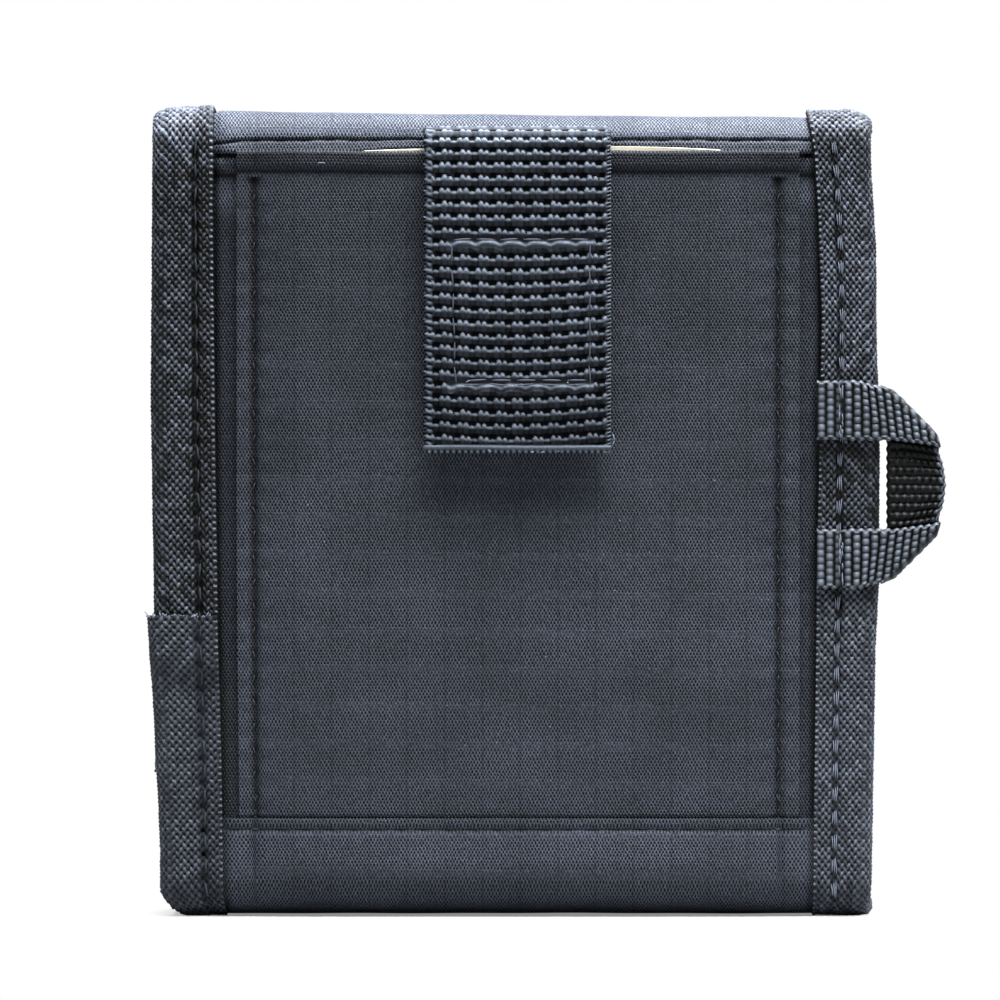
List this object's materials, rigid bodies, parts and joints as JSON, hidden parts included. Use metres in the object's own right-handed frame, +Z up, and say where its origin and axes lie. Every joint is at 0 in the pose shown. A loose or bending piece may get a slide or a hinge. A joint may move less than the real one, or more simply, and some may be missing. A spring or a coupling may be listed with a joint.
{
  "type": "accessory pouch",
  "caption": "Boxy ripstop pouch with bound edges, a slot pocket closed by a webbing tab, a side lanyard loop and a lid flap that folds over the top.",
  "frame": {"origin": "middle of the pouch's outline, on the table that it stands on", "axes": "+Z up; -Y towards the belt side with the slot pocket and the webbing tab; +X towards the lanyard loop"},
  "size_m": [0.1064, 0.0336, 0.1082],
  "materials": {
    "ripstop": "coated ripstop nylon, low sheen",
    "binding_tape": "plain woven tape, matt",
    "webbing": "ribbed polypropylene webbing, soft shine",
    "lining": "thin taffeta lining",
    "foam": "closed cell foam sheet",
    "cream_sheet": "thin matt sheet",
    "hook_and_loop": "hook and loop pile"
  },
  "bodies": {
    "shell": {"back_panel": "ripstop", "body_wrap": "ripstop", "body_foam": "foam", "body_lining": "lining", "left_gusset": "ripstop", "right_gusset": "ripstop", "left_binding_upper": "binding_tape", "left_binding_lower": "binding_tape", "right_binding": "binding_tape", "mouth_binding": "binding_tape", "top_band": "ripstop", "rear_pocket_panel": "ripstop", "front_pocket_panel": "ripstop", "pocket_stiffener": "cream_sheet", "tab_root": "webbing", "tab_loop_patch": "hook_and_loop", "lanyard_loop_root_upper": "webbing", "lanyard_loop_root_lower": "webbing", "front_loop_patch": "hook_and_loop"},
    "lid": {"lid_panel": "ripstop", "lid_foam": "foam", "lid_lining": "lining", "lid_binding_left": "binding_tape", "lid_binding_right": "binding_tape"},
    "flap": {"flap_panel": "ripstop", "flap_foam": "foam", "flap_lining": "lining", "flap_binding": "binding_tape", "flap_hook_patch": "hook_and_loop"},
    "tab": {"webbing_tab": "webbing", "tab_hook_patch": "hook_and_loop"},
    "loop": {"lanyard_loop": "webbing"}
  },
  "joints": [
    {"name": "lid_hinge", "type": "hinge", "parent": "shell", "child": "lid", "pos_m": [0, -0.01034, 0.10679], "axis": [1, 0, 0], "range_deg": [0, 110]},
    {"name": "flap_hinge", "type": "hinge", "parent": "lid", "child": "flap", "pos_m": [0, 0.01534, 0.10679], "axis": [1, 0, 0], "range_deg": [0, 90]},
    {"name": "tab_hinge", "type": "hinge", "parent": "shell", "child": "tab", "pos_m": [0, -0.0159, 0.10445], "axis": [-1, 0, 0], "range_deg": [0, 130]},
    {"name": "loop_swing", "type": "hinge", "parent": "shell", "child": "loop", "pos_m": [0.04485, -0.01235, 0.0576], "axis": [0, 0, 1], "range_deg": [-75, 30], "stiffness_Nm_per_rad": 0.0002}
  ]
}
